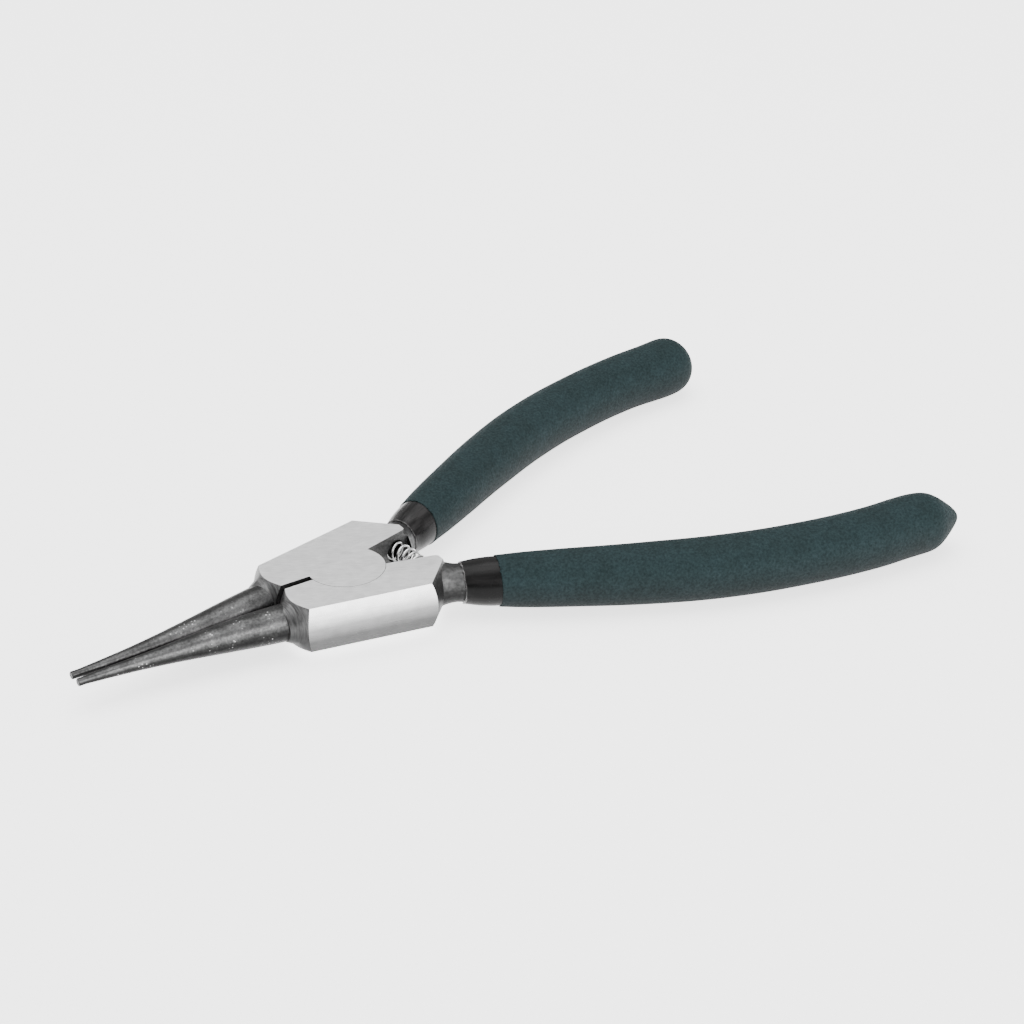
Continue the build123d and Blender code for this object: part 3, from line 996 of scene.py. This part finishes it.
# %% Foamed grips
GREEN_DARK = (0.0108, 0.0235, 0.0250)
GREEN_LIGHT = (0.0142, 0.0300, 0.0330)
# painted shade and light: shares from down to up, with the grey painted there, darker underneath
VINYL_PAINTED_SHADE = [(0.0, 0.22), (1.0, 0.9), (0.3, 0.35), (0.5, 0.55), (0.7, 0.82)]


def foamed_vinyl():
    """Matt dark green foamed vinyl with a pebble grain."""
    material, tree, shader, place = new_material("grip_green")
    skin = effect(tree, grain, place, Size=0.5)
    coarse = effect(tree, grain, place, Size=1.6)
    wide = ramp(tree, skin.outputs["Clouds"], 0.3, 0.7, GREEN_DARK, GREEN_LIGHT)
    patchy = ramp(tree, coarse.outputs["Grain"], 0.35, 0.66, (0.9, 0.91, 0.91), (1.08, 1.07, 1.07))
    fine = ramp(tree, skin.outputs["Grain"], 0.36, 0.66, (0.66, 0.7, 0.7), (1.26, 1.22, 1.22))
    colour = multiply(tree, wide, fine)
    colour = multiply(tree, colour, patchy)
    colour = multiply(tree, colour, painted_light_by_facing(tree, VINYL_PAINTED_SHADE))
    tree.links.new(colour, shader.inputs["Base Color"])
    rough = spread(tree, skin.outputs["Grain"], 0.3, 0.7, 0.86, 0.68)
    tree.links.new(rough, shader.inputs["Roughness"])
    shader.inputs["Specular IOR Level"].default_value = 0.18
    raise_surface(tree, shader, skin.outputs["Grain"], 0.7, 0.16 * MM)
    return material


grip_green = foamed_vinyl()
for piece in grips.values():
    piece.data.materials.append(grip_green)
    print(piece.name, grip_green.name)

# %% [markdown]
# ## Spring wire
# The wire is drawn and left bright. Each turn is a small mirror, light above and dark below, and that light
# and shade is painted into its colour by the same kind of greys by direction as on the jaws, which keeps the
# turns apart at this size.

# %% Spring wire
# painted light and shade: shares from down to up, with the grey painted there
WIRE_PAINTED_LIGHT = [(0.0, 0.08), (1.0, 1.0), (0.45, 0.2), (0.62, 0.85)]


def bright_wire():
    """Drawn spring wire, painted light on top and painted shade below."""
    material, tree, shader, place = new_material("spring_wire")
    skin = effect(tree, grain, place, Size=0.25)
    drawn = ramp(tree, skin.outputs["Grain"], 0.3, 0.7, grey(0.6), grey(0.9))
    colour = multiply(tree, drawn, painted_light_by_facing(tree, WIRE_PAINTED_LIGHT))
    tree.links.new(colour, shader.inputs["Base Color"])
    rough = spread(tree, skin.outputs["Grain"], 0.3, 0.7, 0.14, 0.26)
    tree.links.new(rough, shader.inputs["Roughness"])
    shader.inputs["Metallic"].default_value = 1.0
    return material


spring.data.materials.append(bright_wire())
print("materials", sorted(m.name for m in bpy.data.materials))

# %% [markdown]
# ## Floor
# A small tool is shown on white paper that is lit until it glows. A plain white floor alone would render
# grey between soft lights, so the paper also gives off light of its own. It lies at the lowest point of the
# object.

# %% Floor
FLOOR_SIZE = 6
PAPER_WHITE = 0.93
PAPER_GLOW = 2.2

floor_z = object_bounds()[0].z
bpy.ops.object.select_all(action="DESELECT")
bpy.ops.mesh.primitive_plane_add(size=FLOOR_SIZE, location=(0, 0, floor_z))
floor = bpy.context.object
floor.name = "floor"
paper = bpy.data.materials.new("paper")
paper.use_nodes = True
shader = paper.node_tree.nodes["Principled BSDF"]
shader.inputs["Base Color"].default_value = (*grey(PAPER_WHITE), 1)
shader.inputs["Roughness"].default_value = 0.9
shader.inputs["Emission Color"].default_value = (*grey(1), 1)
shader.inputs["Emission Strength"].default_value = PAPER_GLOW
floor.data.materials.append(paper)
print("floor at, mm", round(floor_z / MM, 2))

# %% [markdown]
# ## Studio light
# Steel looks like what it mirrors. The world is a grey room that gets lighter towards the ceiling, and two
# large area lights stand for soft boxes: one overhead, and a weaker one in front that brightens the side
# face. Small hard lamps would put sharp spots on the ground steel.

# %% Room and lights
ROOM_STOPS = ((0.0, 0.5), (1.0, 1.15), (0.22, 0.6), (0.45, 1.0))

world = bpy.data.worlds.new("studio")
bpy.context.scene.world = world
world.use_nodes = True
room = world.node_tree
backdrop = room.nodes["Background"]
backdrop.inputs["Strength"].default_value = 1.0
look = add_node(room, "ShaderNodeTexCoord")
split = add_node(room, "ShaderNodeSeparateXYZ")
room.links.new(look.outputs["Generated"], split.inputs[0])
room.links.new(grey_bands(room, split.outputs["Z"], ROOM_STOPS), backdrop.inputs["Color"])


def soft_box(name, place, aim, size, power):
    """A square area light that faces a point."""
    data = bpy.data.lights.new(name, "AREA")
    data.size = size
    data.energy = power
    lamp = bpy.data.objects.new(name, data)
    bpy.context.scene.collection.objects.link(lamp)
    lamp.location = place
    lamp.rotation_euler = (Vector(aim) - Vector(place)).to_track_quat("-Z", "Y").to_euler()
    print(name, power, "W")


soft_box("top_light", (0.05, 0.1, 0.8), (0.03, 0, 0), 0.8, 7)
soft_box("front_light", (0.06, -0.9, 0.24), (0, 0, 0), 0.5, 4.5)
